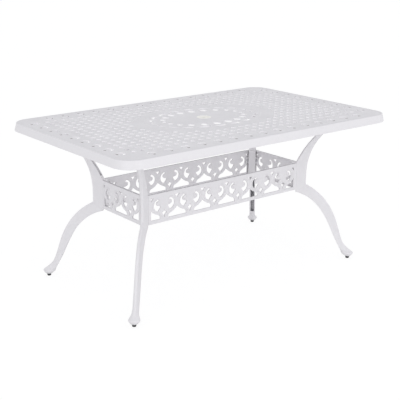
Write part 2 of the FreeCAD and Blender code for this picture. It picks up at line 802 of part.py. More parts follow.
def panels():
    # two long and two short fretwork panels, each between the boxes of two legs
    step = size("post_back_width") / 2 / math.sqrt(2)
    corner_x, corner_y, _ = leg_corner(1, 1)
    long_side = (corner_x - step, corner_y + step)
    short_side = (corner_y - step, corner_x + step)
    long_work = (size("long_end_margin"), int(size("long_units")))
    short_work = (size("short_end_margin"), int(size("short_units")))
    return [panel("front_panel", *long_side, 0, *long_work),
            panel("back_panel", *long_side, 180, *long_work),
            panel("left_panel", *short_side, -90, *short_work),
            panel("right_panel", *short_side, 90, *short_work)]


def bolt(name, kind, place):
    # hexagon head and plain shank, standing on its head with the shank up
    head = doc.addObject("Part::Prism", f"{name}_head")
    head.Polygon = 6
    tie(head, Circumradius=f"sizes.{kind}_flats / sqrt(3)", Height=f"sizes.{kind}_head")
    shank = doc.addObject("Part::Cylinder", f"{name}_shank")
    tie(shank, Radius=f"sizes.{kind}_diameter / 2", Height=f"sizes.{kind}_length")
    shank.Placement = at_height(size(f"{kind}_head"))
    whole = fuse(name, [head, shank])
    whole.Placement = place
    return whole


def group(name, pieces):
    compound = doc.addObject("Part::Compound", name)
    compound.Links = pieces
    compound.Label = name
    return compound


def top_bolts():
    low = lug_underside() - size("top_bolt_head")
    bolts = []
    for corner in CORNERS:
        for side in (-1, 1):
            place = leg_place(corner, size("arm_reach"), side * size("lug_bolt_spacing") / 2, low)
            bolts.append(bolt("top_bolt", "top_bolt", place))
    return group("top_bolts", bolts)


def panel_bolts():
    # one at each ear, its head inside the frame of panels
    inward = size("panel_thickness") + size("ear_thickness") + size("panel_bolt_head")
    bolts = []
    for corner in CORNERS:
        for side in (-1, 1):
            s, t = panel_to_leg(size("panel_bolt_inset"), inward, side)
            spot = leg_place(corner, s, t, size("panel_bottom") + size("panel_bolt_level"))
            outward = Placement(Vector(), Rotation(UP, Vector(1, side, 0)))
            bolts.append(bolt("panel_bolt", "panel_bolt", spot.multiply(outward)))
    return group("panel_bolts", bolts)


def turned(body, name, profile):
    # a piece turned about its own upright axis
    sketch = new_sketch(body, name, role="XZ_Plane")
    draw_loop(sketch, profile)
    turn = body.newObject("PartDesign::Revolution", f"{name}_turn")
    turn.Profile = sketch
    turn.ReferenceAxis = (sketch, ["V_Axis"])
    turn.Angle = 360.0
    return turn


def glide_pad(corner):
    # a round nylon foot with a socket that holds the stud's head
    body = new_body(f"glide_pad_{corner}", leg_place(corner, size("foot_reach"), 0, 0))
    clear = size("glide_clearance")
    top, wide = size("hoof_bottom") - size("glide_gap"), size("glide_radius")
    socket = size("stud_head_radius") + clear
    neck = size("stud_diameter") / 2 + clear
    low = size("glide_floor") - clear
    high = size("glide_floor") + size("stud_head_height") + clear
    turned(body, "glide_profile", [(0, 0), (wide, 0), (wide, top), (neck, top), (neck, high),
                                   (socket, high), (socket, low), (0, low)])
    return body


def glide_stud(corner):
    # a steel stud with a flat round head, screwed up into the toe
    body = new_body(f"glide_stud_{corner}", leg_place(corner, size("foot_reach"), 0, 0))
    low, radius = size("glide_floor"), size("stud_diameter") / 2
    shoulder, high = low + size("stud_head_height"), low + size("stud_length")
    turned(body, "stud_profile", [(0, low), (size("stud_head_radius"), low),
                                  (size("stud_head_radius"), shoulder), (radius, shoulder), (radius, high),
                                  (0, high)])
    return body


def write_parts(parts):
    os.makedirs("parts", exist_ok=True)
    doc.recompute()
    failed = [item.Name for item in doc.Objects if {"Invalid", "Error"} & set(item.State)]
    if failed:
        raise RuntimeError(f"objects that did not build: {failed}")
    for part in parts:
        if part.Shape.isNull() or not part.Shape.isValid():
            raise RuntimeError(f"{part.Label} has no sound shape")
    for part in parts:
        part.Shape.exportStep(f"parts/{part.Label}.step")


parts = [table_top(), top_rim(), parasol_liner(), top_bolts(), panel_bolts()]
parts += panels()
for corner in CORNERS:
    parts += [leg(corner), glide_pad(corner), glide_stud(corner)]
write_parts(parts)
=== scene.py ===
import math

import bmesh
import bpy
from mathutils import Matrix, Vector


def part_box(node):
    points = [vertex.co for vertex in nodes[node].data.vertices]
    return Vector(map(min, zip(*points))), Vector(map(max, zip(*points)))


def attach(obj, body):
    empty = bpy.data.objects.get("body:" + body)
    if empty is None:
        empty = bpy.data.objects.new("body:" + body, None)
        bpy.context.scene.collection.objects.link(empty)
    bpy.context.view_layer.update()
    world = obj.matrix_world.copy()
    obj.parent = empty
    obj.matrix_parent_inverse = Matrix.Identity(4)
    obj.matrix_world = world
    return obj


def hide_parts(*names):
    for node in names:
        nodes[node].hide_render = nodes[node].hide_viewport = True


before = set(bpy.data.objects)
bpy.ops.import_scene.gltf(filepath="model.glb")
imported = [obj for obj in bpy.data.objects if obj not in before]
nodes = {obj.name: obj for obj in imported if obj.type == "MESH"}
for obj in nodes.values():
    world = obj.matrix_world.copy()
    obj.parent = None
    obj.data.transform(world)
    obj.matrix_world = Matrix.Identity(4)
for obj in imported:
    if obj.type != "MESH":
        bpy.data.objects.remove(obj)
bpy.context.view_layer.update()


# Camera: a longish lens about 1.5 m above the floor, off the near left corner of the table. The
# picture is 400 x 400, and the small shift puts the middle of the lens where the photograph has it.

AZIMUTH, ELEVATION, ROLL = math.radians(-37.474), math.radians(17.3148), math.radians(0.0804)
DISTANCE = 3.6608
AIM = Vector((-0.34558, -0.21397, 0.45312))
SENSOR_WIDTH, PICTURE_WIDTH, FOCAL_PIXELS = 36.0, 400, 870.58
SHIFT_ACROSS, SHIFT_UP = 0.0699, -0.0021


def add_object(name, data):
    """Puts new data into the scene as an object at the origin."""
    thing = bpy.data.objects.new(name, data)
    bpy.context.scene.collection.objects.link(thing)
    return thing


back = Vector((math.sin(AZIMUTH) * math.cos(ELEVATION), -math.cos(AZIMUTH) * math.cos(ELEVATION),
               math.sin(ELEVATION)))
right = Vector((0, 0, 1)).cross(back).normalized()
up = back.cross(right)
rolled_right = math.cos(ROLL) * right + math.sin(ROLL) * up
rolled_up = math.cos(ROLL) * up - math.sin(ROLL) * right

camera = add_object("camera", bpy.data.cameras.new("camera"))
camera.data.sensor_width = SENSOR_WIDTH
camera.data.lens = FOCAL_PIXELS * SENSOR_WIDTH / PICTURE_WIDTH
camera.data.shift_x, camera.data.shift_y = SHIFT_ACROSS, SHIFT_UP
axes = Matrix((rolled_right, rolled_up, back)).transposed().to_4x4()
camera.matrix_world = Matrix.Translation(AIM + back * DISTANCE) @ axes
bpy.context.scene.camera = camera


# Floor and light: a white studio floor that looks white to the camera and in reflections but still
# takes the table's soft shadow, an even white sky, and two large soft lamps, one at the near left
# and one in front.

FLOOR_SIZE, FLOOR_DROP = 40.0, 0.0005
FLOOR_WHITE, SHADOW_SHARE = 1.05, 0.15
FLOOR_ROUGHNESS = 0.9
SKY_STRENGTH = 0.88
LAMP_SIZE = 3.0
KEY_PLACE, KEY_TARGET, KEY_WATTS = (-4.2, -2.4, 2.1), (0, 0, 0.5), 29
FILL_PLACE, FILL_TARGET, FILL_WATTS = (0.8, -4.6, 1.8), (0, 0, 0.4), 31

bpy.context.scene.view_settings.view_transform = "Standard"


def linear(code):
    """A colour given as an sRGB hex code, as linear red, green, blue and full alpha."""
    parts = [int(code[i:i + 2], 16) / 255 for i in (0, 2, 4)]
    return [c / 12.92 if c <= 0.04045 else ((c + 0.055) / 1.055) ** 2.4 for c in parts] + [1.0]


def set_sockets(material, node, inputs):
    """Fills a node's sockets with numbers or with other nodes' outputs."""
    for socket, value in inputs.items():
        if isinstance(value, bpy.types.NodeSocket):
            material.node_tree.links.new(value, node.inputs[socket])
        else:
            node.inputs[socket].default_value = value


def add_node(material, kind, inputs=None, **settings):
    """Adds a node with its settings and its links.

    A Mix node of colours has its two colours in sockets 6 and 7 and gives the mix in output 2."""
    node = material.node_tree.nodes.new(kind)
    for name, value in settings.items():
        setattr(node, name, value)
    set_sockets(material, node, inputs or {})
    return node


def new_material(name):
    """A new material and its shader."""
    material = bpy.data.materials.new(name)
    material.use_nodes = True
    return material, material.node_tree.nodes["Principled BSDF"]


def directly_seen(material, share):
    """A share for what the camera sees straight, mirrored or through glass, and zero for other rays."""
    rays = add_node(material, "ShaderNodeLightPath").outputs
    mirrored = add_node(material, "ShaderNodeMath", {
        0: rays["Is Camera Ray"], 1: rays["Is Glossy Ray"]}, operation="MAXIMUM")
    seen = add_node(material, "ShaderNodeMath", {
        0: mirrored.outputs["Value"], 1: rays["Is Transmission Ray"]}, operation="MAXIMUM")
    scaled = add_node(material, "ShaderNodeMath", {
        0: seen.outputs["Value"], 1: share}, operation="MULTIPLY")
    return scaled.outputs["Value"]


floor_paint, floor_shader = new_material("white_studio_floor")
set_sockets(floor_paint, floor_shader, {"Base Color": linear("F4F4F4"), "Roughness": FLOOR_ROUGHNESS})
glow = add_node(floor_paint, "ShaderNodeEmission", {"Color": linear("FFFFFF"), "Strength": FLOOR_WHITE})
seen_floor = add_node(floor_paint, "ShaderNodeMixShader", {
    "Fac": directly_seen(floor_paint, 1 - SHADOW_SHARE),
    1: floor_shader.outputs["BSDF"], 2: glow.outputs["Emission"]})
set_sockets(floor_paint, floor_paint.node_tree.nodes["Material Output"], {
    "Surface": seen_floor.outputs["Shader"]})

bpy.ops.mesh.primitive_plane_add(size=FLOOR_SIZE, location=(0, 0, -FLOOR_DROP))
floor = bpy.context.object
floor.name = "studio_floor"
floor.data.materials.append(floor_paint)

world = bpy.data.worlds.new("sky")
bpy.context.scene.world = world
world.use_nodes = True
sky = world.node_tree.nodes["Background"]
set_sockets(world, sky, {"Color": linear("F2F3F6"), "Strength": SKY_STRENGTH})
backdrop = add_node(world, "ShaderNodeBackground", {"Color": linear("FFFFFF"), "Strength": 1.0})
seen_sky = add_node(world, "ShaderNodeMixShader", {
    "Fac": directly_seen(world, 1.0), 1: sky.outputs["Background"], 2: backdrop.outputs["Background"]})
set_sockets(world, world.node_tree.nodes["World Output"], {"Surface": seen_sky.outputs["Shader"]})


def soft_lamp(name, place, target, watts):
    """A square area lamp at a place, turned towards a target."""
    lamp = add_object(name, bpy.data.lights.new(name, "AREA"))
    lamp.data.size = LAMP_SIZE
    lamp.data.energy = watts
    lamp.location = place
    lamp.rotation_euler = (Vector(target) - Vector(place)).to_track_quat("-Z", "Y").to_euler()


soft_lamp("key_left", KEY_PLACE, KEY_TARGET, KEY_WATTS)
soft_lamp("fill_front", FILL_PLACE, FILL_TARGET, FILL_WATTS)


# Table top plate: sand-cast aluminium 5 mm thick, pierced by a lattice of square holes set on their
# corners. Round the border runs a row of arched openings with a small round hole outside each. It is
# cast in one with the medallion and powder coated white together with its skirt.

PLATE_THICKNESS = 0.005
PLATE_EDGE, BAR_EDGE = 0.0011, 0.0007
PLAIN_BORDER = 0.120
LATTICE_PITCH, LATTICE_HOLE, HOLE_CORNER = 0.0413, 0.026, 0.0022
BORDER_PITCH = 2 * LATTICE_PITCH
ARCH_INSET, ARCH_SPAN, ARCH_RISE, ARCH_WIDTH = 0.062, 0.040, 0.027, 0.012
EYELET_INSET, EYELET_RADIUS, EYELET_SIDES = 0.052, 0.0065, 14
OVAL_CLEARANCE, MEDALLION_LAP = 0.009, 0.0045
PLATE_INSET = 0.016
CORNER_RADIUS = 0.088

# Half lengths and half widths: of the medallion's oval, and of the table top.
OVAL = Vector((0.367, 0.234))
rim_low, rim_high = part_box("top_rim")
HALF_TOP = Vector((rim_high.x, rim_high.y))
TABLE_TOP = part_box("table_top")[1].z

# The skirt's piece takes in the top's blended edge and laps over the plate's edge. The plate lies a
# hair lower, so that their faces don't share a plane.
FACE_DROP = 0.0001

# Powder coat on a sand casting: a plain neutral white with a satin gloss. The cast skin under it
# shows as a faint ripple 9 mm across, and the coat itself as a fine orange peel, drawn 1.5 mm wide so
# that it shows. Painted shade greys the corners, and a painted shade darkens what faces up, in soft
# patches. A noise pattern mostly stays between the common low and high.

COAT_IOR = 1.5
CASTING_RIPPLE, RIPPLE_HEIGHT, RIPPLE_STRENGTH = 0.009, 0.0006, 0.35
ORANGE_PEEL, PEEL_HEIGHT, PEEL_STRENGTH = 0.0015, 0.0001, 0.25
COMMON_LOW, COMMON_HIGH = 0.3, 0.7
COAT_SMOOTHEST, COAT_ROUGHEST = 0.36, 0.48
# Painted shade in corners: how far it reaches, and the occlusion at which it is full and at which it
# ends.
CORNER_SHADE_REACH, DEEP_CORNER, SHALLOW_CORNER = 0.006, 0.25, 0.6
# Painted shade on upward faces: its colour, the size of its patches, and its weakest share.
TOP_SHADE, TOP_SHADE_PATCH, THINNEST_TOP_SHADE = "DBD9DC", 0.12, 0.8
SLOPING, LYING = 0.6, 0.95


def upward_shade(material, where, clean, top_shade):
    """A clean colour darkened by painted shade in patches, on upward faces alone."""
    normal = add_node(material, "ShaderNodeNewGeometry").outputs["Normal"]
    upward = add_node(material, "ShaderNodeSeparateXYZ", {"Vector": normal})
    flat = add_node(material, "ShaderNodeMapRange", {
        "Value": upward.outputs["Z"], "From Min": SLOPING, "From Max": LYING})
    patches = add_node(material, "ShaderNodeTexNoise", {
        "Vector": where, "Scale": 1 / TOP_SHADE_PATCH, "Detail": 3.0})
    shade_strength = add_node(material, "ShaderNodeMapRange", {
        "Value": patches.outputs["Fac"], "From Min": COMMON_LOW, "From Max": COMMON_HIGH,
        "To Min": THINNEST_TOP_SHADE, "To Max": 1.0})
    cover = add_node(material, "ShaderNodeMath", {
        0: flat.outputs["Result"], 1: shade_strength.outputs["Result"]}, operation="MULTIPLY")
    return add_node(material, "ShaderNodeMix", {
        "Factor": cover.outputs["Value"], 6: clean, 7: linear(top_shade)}, data_type="RGBA")


def powder_coat(name, dark, pale, shade_colour, reach=CORNER_SHADE_REACH, top_shade=None):
    """White powder coat over cast aluminium: two tones, painted shade in corners up to a reach, and on
    upward faces.
    """
    material, coat = new_material(name)
    where = add_node(material, "ShaderNodeTexCoord").outputs["Object"]
    ripple = add_node(material, "ShaderNodeTexNoise", {
        "Vector": where, "Scale": 1 / CASTING_RIPPLE, "Detail": 2.0})
    peel = add_node(material, "ShaderNodeTexNoise", {
        "Vector": where, "Scale": 1 / ORANGE_PEEL, "Detail": 1.0})
    # Painted shade: ambient occlusion finds the corners and recesses where shade falls.
    corners = add_node(material, "ShaderNodeAmbientOcclusion", {"Distance": reach}, samples=8)
    painted_shade = add_node(material, "ShaderNodeMapRange", {
        "Value": corners.outputs["AO"], "From Min": DEEP_CORNER, "From Max": SHALLOW_CORNER,
        "To Min": 1.0, "To Max": 0.0})
    tone = add_node(material, "ShaderNodeMix", {
        "Factor": ripple.outputs["Fac"], 6: linear(dark), 7: linear(pale)}, data_type="RGBA")
    # Painted shade on the faces that look up, to make them darker than the sides.
    if top_shade:
        tone = upward_shade(material, where, tone.outputs[2], top_shade)
    # Painted shade: the tone turns to the shade colour where the occlusion is deep.
    shaded_tone = add_node(material, "ShaderNodeMix", {
        "Factor": painted_shade.outputs["Result"], 6: tone.outputs[2], 7: linear(shade_colour)}, data_type="RGBA")
    sheen = add_node(material, "ShaderNodeMapRange", {
        "Value": ripple.outputs["Fac"], "From Min": COMMON_LOW, "From Max": COMMON_HIGH,
        "To Min": COAT_SMOOTHEST, "To Max": COAT_ROUGHEST})
    waves = add_node(material, "ShaderNodeBump", {
        "Height": ripple.outputs["Fac"], "Strength": RIPPLE_STRENGTH, "Distance": RIPPLE_HEIGHT})
    skin = add_node(material, "ShaderNodeBump", {
        "Height": peel.outputs["Fac"], "Strength": PEEL_STRENGTH, "Distance": PEEL_HEIGHT,
        "Normal": waves.outputs["Normal"]})
    set_sockets(material, coat, {
        "IOR": COAT_IOR, "Base Color": shaded_tone.outputs[2], "Roughness": sheen.outputs["Result"],
        "Normal": skin.outputs["Normal"]})
    return material


cast_white = powder_coat("white_powder_coat_on_cast_aluminium", "E6E4E6", "EBE9EB", "A19F9F", top_shade=TOP_SHADE)

# The pierced top's coat is painted whiter than the other castings, a painted light that brightens the
# walls of its many holes, while its upward faces take the painted shade.
lit_top_white = powder_coat("powder_coat_painted_lighter_on_the_pierced_top", "F7F5F7", "FBF9FB", "BDBBBB", top_shade=TOP_SHADE)

# The same coat painted dark inside the small round holes of the border, a painted shade for their shaded
# depths.
eyelet_shade_white = powder_coat("powder_coat_painted_dark_in_small_holes", "A3A09F", "B6B3B2", "8A8785")


def rounded_rectangle(half, radius, steps=12):
    """A closed outline with round corners, centred on the origin, anticlockwise."""
    points = []
    for turn, (side_x, side_y) in enumerate(((1, 1), (-1, 1), (-1, -1), (1, -1))):
        centre = Vector((side_x * (half.x - radius), side_y * (half.y - radius)))
        for step in range(steps + 1):
            angle = math.pi / 2 * (turn + step / steps)
            points.append(centre + radius * Vector((math.cos(angle), math.sin(angle))))
    return points


def oval(half, steps=96):
    """A closed oval outline centred on the origin, anticlockwise."""
    angles = [math.tau * step / steps for step in range(steps)]
    return [Vector((half.x * math.cos(a), half.y * math.sin(a))) for a in angles]


def circle(radius, steps):
    return oval(Vector((radius, radius)), steps)


def arc(start, via, end, steps=7):
    """Points on the circle through three places, from the first to just short of the last."""
    (ax, ay), (bx, by), (cx, cy) = start, via, end
    scale = 2 * (ax * (by - cy) + bx * (cy - ay) + cx * (ay - by))
    a, b, c = ax * ax + ay * ay, bx * bx + by * by, cx * cx + cy * cy
    centre = Vector(((a * (by - cy) + b * (cy - ay) + c * (ay - by)) / scale,
                     (a * (cx - bx) + b * (ax - cx) + c * (bx - ax)) / scale))
    first, middle, last = (math.atan2(p[1] - centre.y, p[0] - centre.x) for p in (start, via, end))
    turn = (last - first) % math.tau
    if (middle - first) % math.tau > turn:
        turn -= math.tau
    radius = (Vector(start) - centre).length
    angles = [first + turn * step / steps for step in range(steps)]
    return [centre + radius * Vector((math.cos(angle), math.sin(angle))) for angle in angles]


def outline(corners):
    """A closed outline from corners in millimetres.

    A corner with four numbers starts an arc that passes through its second pair."""
    points = []
    for here, following in zip(corners, corners[1:] + corners[:1]):
        if len(here) == 4:
            points += arc(here[:2], here[2:], following[:2])
        else:
            points.append(Vector(here))
    return [point / 1000 for point in points]


def area(points):
    """The area inside an outline, below zero where the outline runs clockwise."""
    return sum(a.cross(b) for a, b in zip(points, points[1:] + points[:1])) / 2


def placed(points, middle, turn):
    """An outline turned and moved to its place."""
    spin = Matrix.Rotation(turn, 2)
    return [Vector(middle) + spin @ point for point in points]


MERGE_WITHIN = 0.00002
SHARPEST_SMOOTH = math.radians(50)


def choose(*pieces):
    """Selects these pieces alone and makes the first the active one."""
    bpy.ops.object.select_all(action="DESELECT")
    for piece in pieces:
        piece.select_set(True)
    bpy.context.view_layer.objects.active = pieces[0]


def to_mesh(piece):
    """Turns a curve into a closed mesh whose faces point outwards, with its place in the mesh."""
    choose(piece)
    if piece.type != "MESH":
        bpy.ops.object.convert(target="MESH")
    bpy.ops.object.transform_apply(location=True, rotation=True, scale=True)
    bpy.ops.object.mode_set(mode="EDIT")
    bpy.ops.mesh.select_all(action="SELECT")
    bpy.ops.mesh.remove_doubles(threshold=MERGE_WITHIN)
    bpy.ops.mesh.normals_make_consistent(inside=False)
    bpy.ops.object.mode_set(mode="OBJECT")
    return bpy.context.object


def add_line(curve, points, kind="POLY", closed=True):
    """Adds a flat line through these points to a curve."""
    line = curve.splines.new(kind)
    line.points.add(len(points) - 1)
    for spot, (x, y) in zip(line.points, points):
        spot.co = (x, y, 0, 1)
    line.use_cyclic_u = closed
    return line


def flat_plate(name, edge_line, openings, low, high, edge=PLATE_EDGE):
    """A flat casting between two heights, cut to an outline with openings, all its edges rounded."""
    curve = bpy.data.curves.new(name, "CURVE")
    curve.dimensions = "2D"
    curve.fill_mode = "BOTH"
    for index, points in enumerate([edge_line] + openings):
        if (area(points) > 0) != (index == 0):
            points = points[::-1]
        add_line(curve, points)
    curve.extrude = (high - low) / 2 - edge
    curve.bevel_depth = edge
    curve.bevel_resolution = 1
    curve.offset = -edge
    plate = add_object(name, curve)
    plate.location.z = (low + high) / 2
    return to_mesh(plate)


def finish(piece, material, slot, body, *stands_for, free_form=False):
    """Gives a piece its finish and its body; its broad faces stay flat and its rounded edges smooth."""
    if not piece.data.materials:
        piece.data.materials.append(material)
    choose(piece)
    if free_form:
        bpy.ops.object.shade_smooth()
    else:
        bpy.ops.object.shade_smooth_by_angle(angle=SHARPEST_SMOOTH)
        flat_faces = piece.modifiers.new("flat_faces", "WEIGHTED_NORMAL")
        flat_faces.keep_sharp = True
        bpy.ops.object.modifier_apply(modifier=flat_faces.name)
    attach(piece, body)
    if stands_for:
        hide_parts(*stands_for)


def border_sites(inset):
    """Places and turns along the border at one distance from its edge, two lattice steps apart."""
    for side in range(4):
        run, across = (HALF_TOP.x, HALF_TOP.y) if side % 2 == 0 else (HALF_TOP.y, HALF_TOP.x)
        count = int((run - CORNER_RADIUS - BORDER_PITCH / 2) / BORDER_PITCH)
        for index in range(-count, count + 1):
            middle = Vector((index * BORDER_PITCH, inset - across))
            yield Matrix.Rotation(side * math.pi / 2, 2) @ middle, side * math.pi / 2


def lattice_holes():
    """The lattice's square holes with blunt corners, between the border and the medallion."""
    tip = LATTICE_HOLE / 2 - HOLE_CORNER
    square = [Vector((x * tip + y * side * HOLE_CORNER, y * tip - x * side * HOLE_CORNER))
              for x, y in ((1, 0), (0, 1), (-1, 0), (0, -1)) for side in (1, -1)]
    reach = HALF_TOP - Vector((PLAIN_BORDER, PLAIN_BORDER))
    columns, rows = int(reach.x / LATTICE_PITCH), int(reach.y / LATTICE_PITCH)
    clear = OVAL + Vector((OVAL_CLEARANCE, OVAL_CLEARANCE))
    holes = []
    for column in range(-columns, columns + 1):
        for row in range(-rows, rows + 1):
            x, y = column * LATTICE_PITCH, row * LATTICE_PITCH
            if (x / clear.x) ** 2 + (y / clear.y) ** 2 > 1:
                holes.append(placed(square, (x, y), 0))
    return holes


def border_openings():
    """The border's arched openings and the small round hole outside each."""
    half, rise, hollow = (size * 1000 for size in (ARCH_SPAN / 2, ARCH_RISE, ARCH_RISE - ARCH_WIDTH))
    arch = outline([(half, 0, 0, rise), (-half, 0, 0, hollow)])
    eyelet = circle(EYELET_RADIUS, EYELET_SIDES)
    openings = [placed(arch, middle, turn) for middle, turn in border_sites(ARCH_INSET)]
    return openings + [placed(eyelet, middle, turn) for middle, turn in border_sites(EYELET_INSET)]


half_plate = HALF_TOP - Vector((PLATE_INSET, PLATE_INSET))
plate_edge = rounded_rectangle(half_plate, CORNER_RADIUS - PLATE_INSET)
medallion_seat = oval(OVAL - Vector((MEDALLION_LAP, MEDALLION_LAP)))
plate = flat_plate("top_plate", plate_edge, [medallion_seat] + lattice_holes() + border_openings(),
                   TABLE_TOP - PLATE_THICKNESS, TABLE_TOP - FACE_DROP, BAR_EDGE)
plate.data.materials.append(lit_top_white)
plate.data.materials.append(eyelet_shade_white)

# The coat painted dark with shade goes on the small holes' walls, below the rounded edge at their mouth.
EYELET_MOUTH, WALL_REACH, STEEPEST_LYING = 0.0008, 0.002, 0.9
eyelets = [middle for middle, turn in border_sites(EYELET_INSET)]
for face in plate.data.polygons:
    if face.center.z < TABLE_TOP - EYELET_MOUTH and abs(face.normal.z) < STEEPEST_LYING:
        if min((face.center.xy - eyelet).length for eyelet in eyelets) < EYELET_RADIUS + WALL_REACH:
            face.material_index = 1
finish(plate, lit_top_white, "cast_white", "frame", "table_top")


# Skirt: the flared band round the plate, an aluminium strip welded under the plate's edge and ground
# flush to a soft round edge before the coating. Its side leans outwards going down and ends in a plain
# rounded foot.

SKIRT_WALL, SKIRT_FLARE, SKIRT_LIP = 0.005, 0.008, 0.018
TOP_ROUND, FOOT_ROUND = 0.0035, 0.0016
ROUND_TURNS = (0.5, 1.0, 1.4)
LIP_GAP = 0.0003
INNER_LEAN = 0.85

skirt_foot = rim_low.z
skirt_height = TABLE_TOP - skirt_foot
underneath = skirt_height - PLATE_THICKNESS - LIP_GAP

# Each point of the section is how far out it is from the table's edge, and how far above the skirt's
# foot. The lip is the part that laps over the plate.
shoulder = -SKIRT_FLARE - TOP_ROUND
skirt_section = [(-SKIRT_FLARE - SKIRT_LIP, skirt_height), (shoulder, skirt_height)]
skirt_section += [(shoulder + TOP_ROUND * math.sin(turn),
                   skirt_height - TOP_ROUND * (1 - math.cos(turn))) for turn in ROUND_TURNS]
skirt_section += [(-0.0006, FOOT_ROUND), (-0.0012, 0.0005), (-0.0024, 0), (-0.0040, 0.0005),
                  (-SKIRT_WALL, FOOT_ROUND)]
skirt_section += [(-SKIRT_WALL - SKIRT_FLARE * INNER_LEAN, underneath),
                  (-SKIRT_FLARE - SKIRT_LIP, underneath)]

section_curve = bpy.data.curves.new("skirt_section", "CURVE")
section_curve.dimensions = "2D"
add_line(section_curve, [(-out, rise) for out, rise in skirt_section])
section = add_object("skirt_section", section_curve)

path_curve = bpy.data.curves.new("top_skirt", "CURVE")
path_curve.dimensions = "2D"
path_curve.fill_mode = "NONE"
add_line(path_curve, rounded_rectangle(HALF_TOP, CORNER_RADIUS, 16))
path_curve.bevel_mode = "OBJECT"
path_curve.bevel_object = section
skirt = add_object("top_skirt", path_curve)
skirt.location.z = skirt_foot
skirt = to_mesh(skirt)
bpy.data.objects.remove(section)
finish(skirt, cast_white, "cast_white", "frame", "top_rim")


# Medallion: the smooth oval in the middle of the casting, with a raised bead round its edge and round
# its two inner rings. Between the rings runs a wreath of scroll openings, each edged by a raised bow
# and with a seed-shaped opening on its inner side. The parasol hole is in its middle.

MEDALLION_DROP = 0.0008
BEAD_RADIUS, BOW_RADIUS = 0.0024, 0.0016
RINGS = (1.0, 0.82, 0.46)
SCROLLS = 20
SCROLL_RING, SEED_RING, SCROLL_FILL = 0.72, 0.57, 0.72
LINER_SEAT = 0.0331

# Outlines in shares of half the scroll's width, the first number outwards from the medallion's middle.
SCROLL = [(-0.2, -1, 0.62, 0), (-0.2, 1, 0.05, 0)]
SEED = [(0.64, 0, 0.52, 0.34), (0.05, 0.58, -0.46, 0.36), (-0.66, 0, -0.46, -0.36),
        (0.05, -0.58, 0.52, -0.34)]
BOW = [(-0.75, -0.95), (-0.2, -1.22), (0.5, -0.85), (0.85, 0), (0.5, 0.85), (-0.2, 1.22), (-0.75, 0.95)]


def ring_point(share, angle):
    """A place on the medallion's oval and the turn of its outward way."""
    half = OVAL * share
    outward = Vector((half.y * math.cos(angle), half.x * math.sin(angle)))
    return Vector((half.x * math.cos(angle), half.y * math.sin(angle))), math.atan2(outward.y, outward.x)


def enlarged(shape, size):
    return [tuple(size * number for number in corner) for corner in shape]


def beads(name, paths, radius, level, closed=False):
    """Round raised beads along smooth lines, as one piece."""
    curve = bpy.data.curves.new(name, "CURVE")
    curve.dimensions = "3D"
    curve.bevel_depth = radius
    curve.bevel_resolution = 2
    curve.resolution_u = 4
    curve.use_fill_caps = True
    for points in paths:
        line = add_line(curve, points, "NURBS", closed)
        line.use_endpoint_u = not closed
        line.order_u = 3
    piece = add_object(name, curve)
    piece.location.z = level
    return to_mesh(piece)


def join(pieces):
    choose(*pieces)
    bpy.ops.object.join()
    return bpy.context.object


openings, bows = [circle(LINER_SEAT, 48)], []
turn = math.tau / SCROLLS
for index in range(SCROLLS):
    angle = turn * (index + 0.5)
    ends = [ring_point(SCROLL_RING, angle + side * turn / 2)[0] for side in (-1, 1)]
    half = SCROLL_FILL * (ends[1] - ends[0]).length / 2 * 1000
    middle, outward = ring_point(SCROLL_RING, angle)
    openings.append(placed(outline(enlarged(SCROLL, half)), middle, outward))
    bows.append(placed(outline(enlarged(BOW, half)), middle, outward))
    middle, outward = ring_point(SEED_RING, angle)
    openings.append(placed(outline(enlarged(SEED, half)), middle, outward))
medallion_plate = flat_plate("medallion", oval(OVAL), openings, TABLE_TOP - PLATE_THICKNESS,
                             TABLE_TOP - MEDALLION_DROP)
ring_beads = beads("ring_beads", [oval(OVAL * share, 64) for share in RINGS], BEAD_RADIUS,
                   TABLE_TOP - BEAD_RADIUS, closed=True)
bow_beads = beads("bow_beads", bows, BOW_RADIUS, TABLE_TOP - BOW_RADIUS)
medallion = join([medallion_plate, ring_beads, bow_beads])
finish(medallion, lit_top_white, "cast_white", "frame")


# Underside of the casting: a rib round the lattice, another under the medallion, the hub round the
# parasol hole, and a pad for the head of each leg, all cast in one with the plate.

RIB_WIDTH, RIB_DEPTH, RIB_INSET, RIB_CORNER, RIB_EDGE = 0.005, 0.008, 0.106, 0.012, 0.0008
OVAL_RIB_SHARE = 0.9
HUB_RADIUS, HUB_DEPTH, HUB_BORE, HUB_EDGE = 0.046, 0.012, 0.0266, 0.001
HALF_PAD = Vector((0.022, 0.038))
PAD_THICKNESS, PAD_CORNER = 0.005, 0.004
OVERLAP = 0.0005

# A pad's place: the leg's post is set in from the top's sides, and its arm reaches out from the post
# on the diagonal.
LEG_INSET = Vector((0.3011, 0.3048))
ARM_REACH = 0.204

plate_foot = TABLE_TOP - PLATE_THICKNESS
rib_half = HALF_TOP - Vector((RIB_INSET, RIB_INSET))
rib_inner = rib_half - Vector((RIB_WIDTH, RIB_WIDTH))
border_rib = flat_plate("border_rib", rounded_rectangle(rib_half, RIB_CORNER),
                        [rounded_rectangle(rib_inner, RIB_CORNER - RIB_WIDTH)],
                        plate_foot - RIB_DEPTH, plate_foot + OVERLAP, RIB_EDGE)
rib_oval = OVAL * OVAL_RIB_SHARE
spread = Vector((RIB_WIDTH / 2, RIB_WIDTH / 2))
oval_rib = flat_plate("oval_rib", oval(rib_oval + spread), [oval(rib_oval - spread)],
                      plate_foot - RIB_DEPTH, plate_foot + OVERLAP, RIB_EDGE)
hub = flat_plate("hub", circle(HUB_RADIUS, 64), [circle(HUB_BORE, 48)],
                 plate_foot - HUB_DEPTH, plate_foot + OVERLAP, HUB_EDGE)
ribs = [border_rib, oval_rib, hub]
